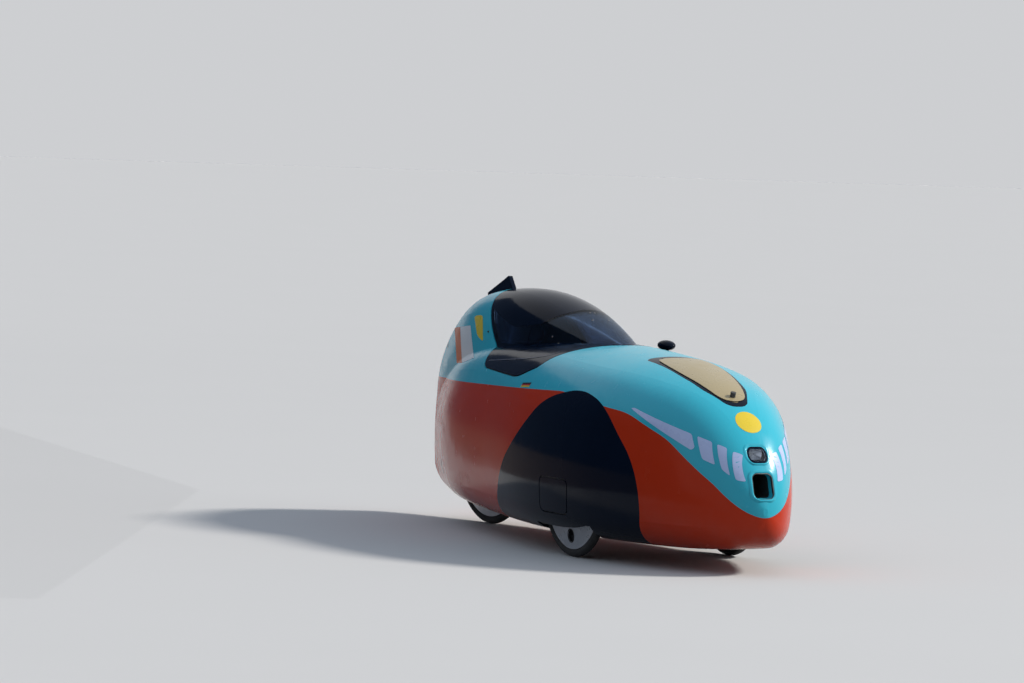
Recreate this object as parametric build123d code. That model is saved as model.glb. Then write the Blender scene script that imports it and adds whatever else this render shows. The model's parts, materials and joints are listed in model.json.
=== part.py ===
from build123d import *
from math import cos, hypot, radians, sin, sqrt, tan
import os

os.makedirs("parts", exist_ok=True)

# A three-wheeled, faired recumbent. X points forward, Y to the left, Z up, millimetres.
# The origin is on the ground in the middle of the body's length. A station is a distance behind the nose tip.

# Overall
LENGTH = 2525.0
FRONT_AXLE = 792.0
WHEELBASE = 1265.0
TRACK = 580.0

# Skin of the body and how panels meet
WALL = 4.0
SEAT = 0.3
LIP = 3.0
LIP_WIDTH = 14.0
LID_GAP = 5.0
SIDE_REACH = 600.0
DECK_LOW = 480.0
DECK_HIGH = 950.0
LENGTH_LOSS = 2.6
MIN_HALF_WIDTH = 5.0

# Body sections
# Columns: station, half_width, top, middle, bottom, upper_corner and lower_corner (shares of the smaller side)
BODY = [
    (0, 8, 224, 212, 200, 0.85, 0.80),
    (8, 36, 262, 212, 168, 0.85, 0.75),
    (32, 80, 328, 215, 124, 0.85, 0.65),
    (70, 120, 395, 222, 98, 0.82, 0.60),
    (137, 168, 478, 235, 82, 0.78, 0.55),
    (252, 228, 565, 255, 72, 0.72, 0.50),
    (432, 306, 632, 280, 68, 0.66, 0.45),
    (562, 347, 660, 291, 68, 0.64, 0.38),
    (762, 376, 680, 300, 68, 0.62, 0.38),
    (1092, 370, 697, 310, 68, 0.60, 0.40),
    (1442, 318, 700, 320, 70, 0.55, 0.40),
    (1742, 268, 684, 325, 76, 0.55, 0.40),
    (2042, 200, 630, 325, 86, 0.60, 0.45),
    (2302, 105, 545, 320, 102, 0.60, 0.50),
    (2452, 42, 475, 315, 130, 0.55, 0.55),
    (2525, 14, 425, 310, 172, 0.50, 0.50),
]
BODY_BOW = (1.5, 2.2, 12.0)

# Bubble over the head and the fairing behind it, same columns
BUBBLE = [
    (980, 20, 688, 640, 560, 0.80, 0.50),
    (1042, 62, 706, 640, 540, 0.80, 0.70),
    (1182, 108, 752, 640, 520, 0.80, 0.70),
    (1362, 148, 805, 640, 520, 0.80, 0.70),
    (1592, 175, 846, 640, 520, 0.80, 0.70),
    (1842, 168, 847, 630, 500, 0.80, 0.70),
    (2092, 126, 805, 600, 460, 0.80, 0.70),
    (2282, 80, 718, 540, 380, 0.75, 0.65),
    (2427, 42, 608, 450, 280, 0.60, 0.50),
    (2517, 14, 480, 380, 240, 0.50, 0.50),
]
BUBBLE_BOW = (1.15, 1.3, 4.0)

# Outlines, each corner as (station, height or half width, corner radius)
COLOUR_LINE = [(2700, 490, 0), (834, 548, 300), (452, 502, 300), (280, 428, 300), (102, 296, 200),
               (-120, 70, 0)]
HOOD_SIDE = [(1942, 895, 0), (1679, 655, 40), (1652, 584, 60), (1240, 572, 250), (1130, 612, 60),
             (1085, 655, 30), (900, 655, 0), (900, 895, 0)]
HOOD_PLAN = [(989, 0, 70), (1092, 190, 80), (1124, 275, 60), (1222, 350, 0), (1990, 350, 0)]
VISOR_SIDE = [(1797, 778, 0), (1572, 722, 150), (1417, 742, 60), (1326, 792, 40), (1326, 900, 0),
              (930, 900, 0), (930, 699, 0), (1173, 684, 0), (1386, 666, 0), (1672, 664, 0)]
SIDE_WINDOW_FRONT = 1467.0
HATCH_FRAME = [(677, 110, 30), (440, 98, 400), (310, 80, 150), (209, 34, 45)]
HATCH_LID = [(653, 66, 22), (440, 54, 400), (300, 40, 150), (232, 14, 20)]
COVER = [(1367, 78, 0), (1307, 240, 450), (916, 524, 400), (721, 565, 330), (552, 520, 290),
         (391, 351, 280), (351, 216, 300), (376, 78, 0)]
COVER_INNER_Y = 150.0
FLAP = [(887, 260, 20), (703, 260, 20), (718, 148, 20), (902, 148, 20)]

# Wheels
FRONT_TYRE_RADIUS = 231.0
REAR_TYRE_RADIUS = 307.5
TYRE_WIDTH = 28.0
RIM_DEPTH = 18.0
RIM_WIDTH = 19.0
DISC_SKIN = 2.0
DISC_CROWN = 24.0
VALVE_HOLE_RADIUS = 20.0
VALVE_HOLE_INSET = 44.0
DRUM_RADIUS = 48.0
DRUM_WIDTH = 26.0


def x_at(station):
    return LENGTH / 2 - station


def corner_arc(width, height, flat_radius, side_radius, radius):
    """Start, middle and end of the arc that joins a flat top arc to a bowed side arc."""
    flat = (0.0, height - flat_radius)
    side = (width - side_radius, 0.0)
    flat_reach = flat_radius - radius
    side_reach = side_radius - radius
    step = (side[0] - flat[0], side[1] - flat[1])
    span = hypot(*step)
    along = (flat_reach ** 2 - side_reach ** 2 + span ** 2) / (2 * span)
    off = sqrt(flat_reach ** 2 - along ** 2)
    foot = (flat[0] + along * step[0] / span, flat[1] + along * step[1] / span)
    across = (-step[1] / span * off, step[0] / span * off)
    centre = max([(foot[0] + sign * across[0], foot[1] + sign * across[1]) for sign in (1, -1)], key=sum)

    def on_arc(start, reach):
        length = hypot(centre[0] - start[0], centre[1] - start[1])
        return (start[0] + (centre[0] - start[0]) / length * reach,
                start[1] + (centre[1] - start[1]) / length * reach)

    first = on_arc(flat, flat_radius)
    last = on_arc(side, side_radius)
    mid = ((first[0] + last[0]) / 2 - centre[0], (first[1] + last[1]) / 2 - centre[1])
    length = hypot(*mid)
    return first, (centre[0] + mid[0] / length * radius, centre[1] + mid[1] / length * radius), last


def section(x, half_width, top, middle, bottom, upper_corner, lower_corner, bow):
    """Closed wire of eight tangent arcs: crown, floor, two bowed sides and four corners."""
    rise = top - middle
    drop = middle - bottom
    tall = max(rise, drop)
    crown = max(bow[0] * half_width, half_width ** 2 / (0.8 * rise))
    side = max(bow[1] * tall, tall ** 2 / (0.8 * half_width))
    floor = max(bow[2] * half_width, half_width ** 2 / (0.8 * drop))
    upper = corner_arc(half_width, rise, crown, side, upper_corner * min(half_width, rise))
    lower = corner_arc(half_width, drop, floor, side, lower_corner * min(half_width, drop))
    u1, um, u2 = [Vector(x, y, middle + z) for y, z in upper]
    l1, lm, l2 = [Vector(x, y, middle - z) for y, z in lower]

    def port(point):
        return Vector(point.X, -point.Y, point.Z)

    arcs = [
        (port(u1), Vector(x, 0, top), u1),
        (u1, um, u2),
        (u2, Vector(x, half_width, middle), l2),
        (l2, lm, l1),
        (l1, Vector(x, 0, bottom), port(l1)),
        (port(l1), port(lm), port(l2)),
        (port(l2), Vector(x, -half_width, middle), port(u2)),
        (port(u2), port(um), port(u1)),
    ]
    return Wire([Edge.make_three_point_arc(*arc) for arc in arcs])


def loft_table(table, bow, inset):
    """Loft through a table of sections, moved inwards by inset."""
    shrink = 1 - LENGTH_LOSS * inset / LENGTH
    wires = []
    for station, half_width, top, middle, bottom, upper_corner, lower_corner in table:
        if half_width - inset < MIN_HALF_WIDTH:
            continue
        wires.append(section(x_at(station) * shrink, half_width - inset, top - inset, middle, bottom + inset,
                             upper_corner, lower_corner, bow))
    return Solid.make_loft(wires)


def hull(inset):
    """The whole closed body, moved inwards by inset."""
    return loft_table(BODY, BODY_BOW, inset) + loft_table(BUBBLE, BUBBLE_BOW, inset)


def grown(corners, amount):
    """Outline of (u, v, radius) corners with every edge moved outwards by amount, as a face."""
    count = len(corners)
    area = sum(corners[i - 1][0] * corners[i][1] - corners[i][0] * corners[i - 1][1] for i in range(count))
    outward = amount if area > 0 else -amount
    moved = []
    for i, (u, v, radius) in enumerate(corners):
        before = Vector(u - corners[i - 1][0], v - corners[i - 1][1]).normalized()
        after = Vector(corners[(i + 1) % count][0] - u, corners[(i + 1) % count][1] - v).normalized()
        turn = before.X * after.Y - before.Y * after.X
        share = outward / (1 + before.dot(after))
        swell = amount if turn * area > 0 else -amount
        moved.append((u + share * (before.Y + after.Y), v - share * (before.X + after.X),
                      max(radius + swell, 0) if radius else 0))
    radii = [r for u, v, r in moved]
    return make_face(FilletPolyline(*[(u, v) for u, v, r in moved], radius=radii, close=True))


def side_prism(corners, y_from=-SIDE_REACH, y_to=SIDE_REACH, amount=0.0):
    """Side outline, given by stations and heights, run across the body."""
    face = grown([(x_at(s), z, r) for s, z, r in corners], amount)
    return Pos(0, y_from, 0) * extrude(Plane.XZ * face, amount=y_to - y_from, dir=(0, 1, 0))


def plan_prism(corners, z_from, z_to, amount=0.0):
    """Half plan outline, given by stations and half widths, mirrored and run upwards."""
    half = [(x_at(s), y, r) for s, y, r in corners]
    other = [(x, -y, r) for x, y, r in reversed(half) if y > 0]
    return Pos(0, 0, z_from) * extrude(grown(half + other, amount), amount=z_to - z_from, dir=(0, 0, 1))


def nose_prism(width, low, high, radius, x_from, x_to, amount=0.0):
    """Rounded rectangle facing forward, run along the body."""
    face = RectangleRounded(width + 2 * amount, high - low + 2 * amount, radius + amount)
    place = Plane.YZ * Pos(0, (low + high) / 2) * face
    return Pos(x_from, 0, 0) * extrude(place, amount=x_to - x_from, dir=(1, 0, 0))


def block(x_from, x_to, y_from, y_to, z_from, z_to):
    return Pos((x_from + x_to) / 2, (y_from + y_to) / 2, (z_from + z_to) / 2) * Box(
        x_to - x_from, y_to - y_from, z_to - z_from)


def rod(start, end, radius):
    """Straight round bar between two points."""
    run = Vector(*end) - Vector(*start)
    return Solid.make_cylinder(radius, run.length, Plane(origin=start, z_dir=run))


def largest(shape):
    return max(shape.solids(), key=lambda solid: solid.volume)


def write(name, shape):
    solids = [solid for solid in shape.solids() if solid.volume > 1.0]
    result = solids[0] if len(solids) == 1 else Compound(children=solids)
    result.label = name
    export_step(result, f"parts/{name}.step")


def mirrored(shape):
    return mirror(shape, Plane.XZ)


def write_pair(name, left_piece):
    """A left piece and its mirror image, as two nodes."""
    write(f"{name}_left", left_piece)
    write(f"{name}_right", mirrored(left_piece))


def write_both(name, left_piece):
    """A left piece and its mirror image, as two solids of one node."""
    write(name, Compound(children=[left_piece, mirrored(left_piece)]))


outer = hull(0)
inner = hull(WALL)
lip_top = hull(WALL + SEAT)
lip_low = hull(WALL + SEAT + LIP)
skin = outer - inner


# Regions of the skin
hood_room = side_prism(HOOD_SIDE, amount=LID_GAP) & plan_prism(HOOD_PLAN, DECK_LOW, DECK_HIGH, LID_GAP)
hood_area = side_prism(HOOD_SIDE) & plan_prism(HOOD_PLAN, DECK_LOW, DECK_HIGH)
visor_area = side_prism(VISOR_SIDE)
hatch_area = plan_prism(HATCH_FRAME, DECK_LOW, DECK_HIGH)
hatch_hole = plan_prism(HATCH_LID, DECK_LOW, DECK_HIGH, LID_GAP)
lid_area = plan_prism(HATCH_LID, DECK_LOW, DECK_HIGH)
below_line = side_prism([(2700, -50, 0)] + COLOUR_LINE + [(-120, -50, 0)])

FRONT_X = x_at(FRONT_AXLE)
REAR_X = x_at(FRONT_AXLE + WHEELBASE)
WHEEL_Y = TRACK / 2

# Head lamp and intake in the nose
LAMP = {"width": 72, "low": 366, "high": 418, "radius": 22}
LAMP_RIM = 7.0
LAMP_FRONT = 90.0
LAMP_DEPTH = 70.0
INTAKE = {"width": 76, "low": 252, "high": 336, "radius": 20}
DUCT_WALL = 2.5
DUCT_REAR = 150.0
NOSE_AHEAD = x_at(-50)
NOSE_BEHIND = x_at(200)
lamp_hole = nose_prism(**LAMP, x_from=NOSE_BEHIND, x_to=NOSE_AHEAD)
intake_hole = nose_prism(**INTAKE, x_from=NOSE_BEHIND, x_to=NOSE_AHEAD)

# Red strip along the trailing edge
tail_strip = block(x_at(2560), x_at(2400), -16, 16, 548, 640)

# Openings under the wheels
HOUSE_INNER_Y = 176.0
HOUSE_REACH = 262.0
HOUSE_TOP = 520.0
HOUSE_ROUND = 170.0
LINER = 3.0
FLOOR_REACH = 195.0
FLOOR_OUTER_Y = 336.0
REAR_HOUSE_HALF = 52.0
REAR_HOUSE_REACH = 335.0
REAR_HOUSE_TOP = 650.0
REAR_HOUSE_ROUND = 310.0
REAR_FLOOR_REACH = 250.0
FLOOR_CUT_LOW = -20.0
FLOOR_CUT_HIGH = 118.0
REAR_CUT_HIGH = 160.0


floor_opening = block(FRONT_X - FLOOR_REACH, FRONT_X + FLOOR_REACH, HOUSE_INNER_Y + LINER, FLOOR_OUTER_Y,
                      FLOOR_CUT_LOW, FLOOR_CUT_HIGH)
rear_slot = block(REAR_X - REAR_FLOOR_REACH, REAR_X + REAR_FLOOR_REACH, -REAR_HOUSE_HALF, REAR_HOUSE_HALF,
                  FLOOR_CUT_LOW, REAR_CUT_HIGH)
cover_area = side_prism(COVER, COVER_INNER_Y)


def flap_area(amount=0.0):
    return side_prism(FLAP, COVER_INNER_Y, amount=amount)


# Body panels
body = skin - [hood_room, floor_opening, mirrored(floor_opening), rear_slot]
cover = largest(body & cover_area)
body = body - [cover_area, mirrored(cover_area)]
upper = body - below_line
write("upper_shell", largest(upper - [hatch_area, lamp_hole, intake_hole, tail_strip]))
write("lower_shell", largest((body & below_line) - intake_hole))
write("tail_lamp", upper & tail_strip)
write("hatch_frame", largest((skin & hatch_area) - hatch_hole))
write("hatch_lid", largest(skin & lid_area))

write_pair("wheel_cover", cover - flap_area(LID_GAP))
write_pair("access_flap", largest(cover & flap_area()))
flap_ring = flap_area(LID_GAP + LIP_WIDTH) - flap_area(-LIP_WIDTH)
write_both("flap_seals", largest((flap_ring & lip_top) - lip_low))

# Hood: roof, rear pillars and skirt in one moulding, with its panes
hood_skin = skin & hood_area
panes = hood_skin & visor_area
write("hood_shell", largest(hood_skin - visor_area))
visor_front = block(x_at(SIDE_WINDOW_FRONT), x_at(0), -SIDE_REACH, SIDE_REACH, DECK_LOW, DECK_HIGH)
write("visor", largest(panes & visor_front))
left_panes = [pane for pane in (panes - visor_front).solids() if pane.center().Y > 0]
write_both("side_windows", max(left_panes, key=lambda pane: pane.volume))

# Seals under the hood's edge and the hatch lid
rim_outside = (side_prism(HOOD_SIDE, amount=LID_GAP + LIP_WIDTH)
               & plan_prism(HOOD_PLAN, DECK_LOW, DECK_HIGH, LID_GAP + LIP_WIDTH))
rim_inside = side_prism(HOOD_SIDE, amount=-LIP_WIDTH) & plan_prism(HOOD_PLAN, DECK_LOW, DECK_HIGH, -LIP_WIDTH)
write("cockpit_rim", largest(((rim_outside - rim_inside) & lip_top) - lip_low))
hatch_ring = (plan_prism(HATCH_LID, DECK_LOW, DECK_HIGH, LID_GAP + LIP_WIDTH)
              - plan_prism(HATCH_LID, DECK_LOW, DECK_HIGH, -LIP_WIDTH))
write("hatch_seal", largest((hatch_ring & lip_top) - lip_low))


# Head lamp, its lens and the air intake
lamp_back = x_at(LAMP_FRONT + LAMP_DEPTH)
lamp_room = nose_prism(**LAMP, x_from=lamp_back, x_to=NOSE_AHEAD, amount=-SEAT)
lamp_bowl = nose_prism(**LAMP, x_from=lamp_back + LINER, x_to=NOSE_AHEAD, amount=-LAMP_RIM)
write("lamp_housing", largest((lamp_room & outer) - lamp_bowl))
lens_fit = nose_prism(**LAMP, x_from=NOSE_BEHIND, x_to=NOSE_AHEAD, amount=-LAMP_RIM - SEAT)
write("lamp_lens", largest(lens_fit & skin))
duct_outer = nose_prism(**INTAKE, x_from=x_at(DUCT_REAR), x_to=NOSE_AHEAD, amount=-SEAT)
duct_inner = nose_prism(**INTAKE, x_from=NOSE_BEHIND, x_to=NOSE_AHEAD, amount=-SEAT - DUCT_WALL)
write("intake_duct", largest((duct_outer & outer) - duct_inner))

# Wheel house liners
REAR_AXLE = FRONT_AXLE + WHEELBASE
LINER_FOOT = -50.0


def arch(axle, reach, top, rounding):
    return [(axle + reach, LINER_FOOT, 0), (axle + reach, top, rounding),
            (axle - reach, top, rounding), (axle - reach, LINER_FOOT, 0)]


house_arch = arch(FRONT_AXLE, HOUSE_REACH, HOUSE_TOP, HOUSE_ROUND)
rear_arch = arch(REAR_AXLE, REAR_HOUSE_REACH, REAR_HOUSE_TOP, REAR_HOUSE_ROUND)

# Steering axis: leans back and inwards, and passes through the stub axle
CASTOR = 10.0
KINGPIN_LEAN = 7.0
KINGPIN_Y = 235.0
PIN_LOW = 90.0
UPRIGHT_LOW = 112.0
UPRIGHT_TOP = 330.0
STRUT_TOP = 500.0
ARM_PIVOT_Y = 140.0
ARM_HEIGHT = 101.0
ARM_REACH = 48.0
MOUNT_RADIUS = 20.5
STRUT_RADIUS = 14.0
PIN_RADIUS = 5.0


def on_axis(height):
    """Point of the left steering axis at a height."""
    rise = height - FRONT_TYRE_RADIUS
    return (FRONT_X - rise * tan(radians(CASTOR)), KINGPIN_Y - rise * tan(radians(KINGPIN_LEAN)), height)


liner = ((side_prism(house_arch, HOUSE_INNER_Y) & lip_top)
         - side_prism(house_arch, HOUSE_INNER_Y + LINER, SIDE_REACH + LINER, -LINER))
arm_x = on_axis(ARM_HEIGHT)[0]
arm_slot = block(arm_x - ARM_REACH - 14, arm_x + ARM_REACH + 14, HOUSE_INNER_Y - 6, HOUSE_INNER_Y + LINER + 6,
                 ARM_HEIGHT - 40, ARM_HEIGHT + 27)
write_pair("wheel_house", largest(liner - arm_slot))

rear_box = side_prism(rear_arch, -REAR_HOUSE_HALF, REAR_HOUSE_HALF) & lip_top
rear_room = side_prism(rear_arch, -REAR_HOUSE_HALF + LINER, REAR_HOUSE_HALF - LINER, -LINER)
write("rear_wheel_house", largest(rear_box - rear_room))


# Wheels, made about a vertical axis with their outer face up, then laid on their side
def turned(points):
    return revolve(Plane.XZ * make_face(Polyline(*points, close=True)), Axis.Z)


def tyre(radius):
    bead = radius - TYRE_WIDTH + 2
    ring = Pos(radius - TYRE_WIDTH / 2, 0) * Circle(TYRE_WIDTH / 2)
    return revolve(Plane.XZ * (ring - Pos(bead / 2, 0) * Rectangle(bead, TYRE_WIDTH)), Axis.Z)


def disc(bead, inner_radius, crown):
    """Thin dished cover from the hub to the rim; crown is its height at the hub."""
    edge = RIM_WIDTH / 2
    skin_down = -DISC_SKIN if crown > 0 else DISC_SKIN
    lip = edge if crown > 0 else -edge
    outer_edge = bead - RIM_DEPTH / 2
    mid_radius = (inner_radius + outer_edge) / 2
    mid_height = (crown + lip) / 2 + (crown - lip) * 0.12
    top = ThreePointArc((inner_radius, crown), (mid_radius, mid_height), (outer_edge, lip))
    low = ThreePointArc((outer_edge, lip + skin_down), (mid_radius, mid_height + skin_down),
                        (inner_radius, crown + skin_down))
    ends = [Line(top @ 1, low @ 0), Line(low @ 1, top @ 0)]
    return revolve(Plane.XZ * make_face([top, ends[0], low, ends[1]]), Axis.Z)


def rim(radius, hub_radius, outer_crown, inner_radius, inner_crown):
    bead = radius - TYRE_WIDTH + 2
    half = RIM_WIDTH / 2
    ring = turned([(bead - RIM_DEPTH, -half), (bead, -half), (bead, half), (bead - RIM_DEPTH, half)])
    hole = Pos(0, bead - VALVE_HOLE_INSET, RIM_WIDTH) * Cylinder(VALVE_HOLE_RADIUS, 2 * RIM_WIDTH - 4)
    return ring + (disc(bead, hub_radius, outer_crown) - hole) + disc(bead, inner_radius, inner_crown)


def laid(shape, x, y, z):
    return Pos(x, y, z) * Rot(-90, 0, 0) * shape


BOSS_RADIUS = 14.0
STUB_RADIUS = 7.5
STUB_GAP = 0.3
NUT_RADIUS = 11.0
INNER_CROWN = 20.0
UPRIGHT_RADIUS = 16.0
LEVER_HEIGHT = 150.0
LEVER_LENGTH = 75.0
front_hub = turned([(STUB_RADIUS + STUB_GAP, -4), (DRUM_RADIUS - 4, -4), (DRUM_RADIUS - 4, -DRUM_WIDTH),
                    (DRUM_RADIUS, -DRUM_WIDTH), (DRUM_RADIUS, 0), (BOSS_RADIUS, 0), (BOSS_RADIUS, DISC_CROWN),
                    (STUB_RADIUS + STUB_GAP, DISC_CROWN)])
centre = (FRONT_X, WHEEL_Y, FRONT_TYRE_RADIUS)
write_pair("front_tyre", laid(tyre(FRONT_TYRE_RADIUS), *centre))
write_pair("front_rim", laid(rim(FRONT_TYRE_RADIUS, BOSS_RADIUS, DISC_CROWN, DRUM_RADIUS, -INNER_CROWN), *centre))
write_pair("front_hub", laid(front_hub, *centre))


def axle_rod(y_from, y_to, radius):
    return rod((FRONT_X, y_from, FRONT_TYRE_RADIUS), (FRONT_X, y_to, FRONT_TYRE_RADIUS), radius)


# Knuckle: upright on the steering axis, stub axle with its nut, brake plate, steering arm and lower pin
drum_back = WHEEL_Y - DRUM_WIDTH
boss_end = WHEEL_Y + DISC_CROWN
lever_root = on_axis(LEVER_HEIGHT)
lever_end = (lever_root[0] - LEVER_LENGTH, lever_root[1] - 12, LEVER_HEIGHT)
knuckle = rod(on_axis(UPRIGHT_LOW), on_axis(UPRIGHT_TOP), UPRIGHT_RADIUS)
knuckle += rod(on_axis(PIN_LOW), on_axis(UPRIGHT_LOW + 20), PIN_RADIUS)
knuckle += axle_rod(KINGPIN_Y, boss_end + 8, STUB_RADIUS)
knuckle += axle_rod(boss_end + STUB_GAP, boss_end + 7, NUT_RADIUS)
knuckle += axle_rod(drum_back - 6, drum_back - 2, DRUM_RADIUS - 4)
knuckle += rod(lever_root, lever_end, STUB_RADIUS)
write_pair("knuckle", knuckle)
write_pair("strut", rod(on_axis(UPRIGHT_TOP), on_axis(STRUT_TOP), STRUT_RADIUS))
mount = rod(on_axis(STRUT_TOP - 22), on_axis(HOUSE_TOP + 20), MOUNT_RADIUS)
mount -= rod(on_axis(STRUT_TOP - 60), on_axis(STRUT_TOP + 2), STRUT_RADIUS + STUB_GAP)
mount -= block(FRONT_X - SIDE_REACH, FRONT_X + SIDE_REACH, 0, SIDE_REACH, HOUSE_TOP - LINER, DECK_HIGH)
write_both("strut_mounts", largest(mount))

# Lower arm: eye on the pin, two legs and a pivot tube on two feet
eye = on_axis(ARM_HEIGHT)
arm = rod(on_axis(ARM_HEIGHT - 8), on_axis(ARM_HEIGHT + 8), 12)
for reach in (-ARM_REACH, ARM_REACH):
    arm += rod(eye, (eye[0] + reach, ARM_PIVOT_Y, ARM_HEIGHT), 6)
    arm += block(eye[0] + reach - 8, eye[0] + reach + 8, ARM_PIVOT_Y - 9, ARM_PIVOT_Y + 9, 50, ARM_HEIGHT)
tube_reach = ARM_REACH + 12
arm += rod((eye[0] - tube_reach, ARM_PIVOT_Y, ARM_HEIGHT), (eye[0] + tube_reach, ARM_PIVOT_Y, ARM_HEIGHT), 9)
arm -= rod(on_axis(PIN_LOW - 30), on_axis(UPRIGHT_LOW + 30), PIN_RADIUS + STUB_GAP)
write_both("lower_arms", largest(arm & lip_top))

# Rear wheel and its fork
REAR_HUB_RADIUS = 22.0
REAR_CROWN = 20.0
REAR_AXLE_RADIUS = 6.0
FORK_Y = 34.0
FORK_RADIUS = 9.0
FORK_PIVOT = (REAR_X + 308, 190.0)
rear_place = (REAR_X, 0, REAR_TYRE_RADIUS)
write("rear_tyre", laid(tyre(REAR_TYRE_RADIUS), *rear_place))
rear_rim = rim(REAR_TYRE_RADIUS, REAR_HUB_RADIUS, REAR_CROWN, REAR_HUB_RADIUS, -REAR_CROWN)
write("rear_rim", laid(rear_rim, *rear_place))
rear_hub = Cylinder(REAR_HUB_RADIUS, 2 * REAR_CROWN + 2) - Cylinder(REAR_AXLE_RADIUS + STUB_GAP, 100)
write("rear_hub", laid(rear_hub, *rear_place))
fork = rod((FORK_PIVOT[0], -REAR_HOUSE_HALF + LINER + SEAT, FORK_PIVOT[1]),
           (FORK_PIVOT[0], REAR_HOUSE_HALF - LINER - SEAT, FORK_PIVOT[1]), 12)
for side in (1, -1):
    stay_y = side * FORK_Y
    fork += rod((FORK_PIVOT[0], stay_y, FORK_PIVOT[1]), (REAR_X, stay_y, REAR_TYRE_RADIUS), FORK_RADIUS)
    fork += rod((REAR_X, stay_y - side * 10, REAR_TYRE_RADIUS), (REAR_X, stay_y + side * 11, REAR_TYRE_RADIUS), 14)
fork += rod((REAR_X, -FORK_Y - 13, REAR_TYRE_RADIUS), (REAR_X, FORK_Y + 13, REAR_TYRE_RADIUS), REAR_AXLE_RADIUS)
write("rear_fork", fork)

# Seat on two ribs, with a head rest
SEAT_LINE = [(1262, 172), (1402, 122), (1532, 160), (1812, 600), (1872, 735)]
SEAT_ROUND = [120, 110, 250]
SEAT_THICK = 10.0
SEAT_HALF_WIDTH = 165.0
SEAT_RIB = [(1342, 40, 0), (1342, 138, 0), (1402, 124, 60), (1522, 155, 60), (1580, 240, 0), (1580, 40, 0)]
SEAT_RIB_Y = 120.0
SEAT_RIB_THICK = 6.0
seat_path = FilletPolyline(*[(x_at(s), z) for s, z in SEAT_LINE], radius=SEAT_ROUND)
seat_profile = Plane.XZ * trace(seat_path, SEAT_THICK)
seat = Pos(0, -SEAT_HALF_WIDTH, 0) * extrude(seat_profile, amount=2 * SEAT_HALF_WIDTH, dir=(0, 1, 0))
neck = block(x_at(2000), x_at(1782), 60, 300, 560, 900)
seat = seat - [neck, mirrored(neck)]
rib = side_prism(SEAT_RIB, SEAT_RIB_Y - SEAT_RIB_THICK / 2, SEAT_RIB_Y + SEAT_RIB_THICK / 2)
ribs = (rib + mirrored(rib)) & lip_top
write("seat", seat + ribs)
pad = Box(34, 150, 96)
pad = fillet(pad.edges(), 14)
write("head_rest", largest(Pos(x_at(1872) + 38, 0, 700) * Rot(0, -24, 0) * pad - seat))

# Tiller in its post, with a free end above the bar that takes a clamp
TILLER_FOOT = (x_at(1022), 0, 190)
TILLER_TOP = (x_at(1262), 0, 490)
TILLER_RADIUS = 11.0
BAR_RADIUS = 11.1
BAR_HALF = 104.0
GRIP_Y = 112.0
GRIP_RADIUS = 15.5
TEE_RADIUS = 15.0
TEE_HALF = 18.0
FREE_END = 40.0
tiller_way = (Vector(*TILLER_TOP) - Vector(*TILLER_FOOT)).normalized()


def on_tiller(distance):
    """Point of the tiller's axis, by its distance above the bar."""
    return tuple(Vector(*TILLER_TOP) + tiller_way * distance)


column = rod(TILLER_FOOT, on_tiller(TEE_HALF + FREE_END), TILLER_RADIUS)
column += rod(on_tiller(-TEE_HALF), on_tiller(TEE_HALF), TEE_RADIUS)
bar = rod((TILLER_TOP[0], -BAR_HALF, TILLER_TOP[2]), (TILLER_TOP[0], BAR_HALF, TILLER_TOP[2]), BAR_RADIUS)
write("tiller", column + bar)
grip_low = (TILLER_TOP[0] + 20, GRIP_Y, TILLER_TOP[2] - 55)
grip_high = (TILLER_TOP[0] - 25, GRIP_Y, TILLER_TOP[2] + 70)
grip = rod(grip_low, grip_high, GRIP_RADIUS)
write_both("tiller_grips", grip - bar)
SLEEVE_LENGTH = 70.0
SLEEVE_FLOOR = 12.0
SLEEVE_RADIUS = 18.0
sleeve_start = Vector(*TILLER_FOOT) - tiller_way * SLEEVE_FLOOR
sleeve_end = Vector(*TILLER_FOOT) + tiller_way * SLEEVE_LENGTH
column_room = rod(TILLER_FOOT, on_tiller(0), TILLER_RADIUS + STUB_GAP)
post = rod(tuple(sleeve_start), tuple(sleeve_end), SLEEVE_RADIUS)
leg = side_prism([(960, 40, 0), (1000, 190, 0), (1052, 190, 0), (1092, 40, 0)], -9, 9)
write("tiller_post", largest(((post + leg) - column_room) & lip_top))

# Fin on the fairing, mirror on the hood's left skirt, knob on the hatch lid
FIN = [(1917, 790, 0), (1917, 838, 0), (1957, 886, 6), (1990, 872, 30), (2125, 818, 0), (2125, 790, 0)]
write("roof_fin", largest(side_prism(FIN, -7, 7) - outer))
knob_x = x_at(262)
knob = rod((knob_x, 0, 540), (knob_x + 14, 0, 583), 9)
write("hatch_knob", largest(knob - outer))
MIRROR_AT = (x_at(1195), 236, 684)
MIRROR_FACE = 27.0
pod = Pos(*MIRROR_AT) * scale(Sphere(1), by=(42, 28, 18))
pod -= block(MIRROR_AT[0] - 100, MIRROR_AT[0] - MIRROR_FACE, 0, 400, 600, 800)
stalk = rod((MIRROR_AT[0] + 10, MIRROR_AT[1] - 3, 600), (MIRROR_AT[0] + 5, MIRROR_AT[1], 680), 7)
write("mirror_pod", largest((pod + stalk) - outer))
disc_place = Pos(MIRROR_AT[0] - MIRROR_FACE - 1.0, MIRROR_AT[1], MIRROR_AT[2])
glass = disc_place * scale(Rot(0, 90, 0) * Cylinder(1, 2), by=(1, 16, 10))
write("mirror_glass", glass)
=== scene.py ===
import bmesh
import bpy
import json
from math import cos, radians, sin, tau
from mathutils import Matrix, Vector
from mathutils.bvhtree import BVHTree
from mathutils.geometry import delaunay_2d_cdt


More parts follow.
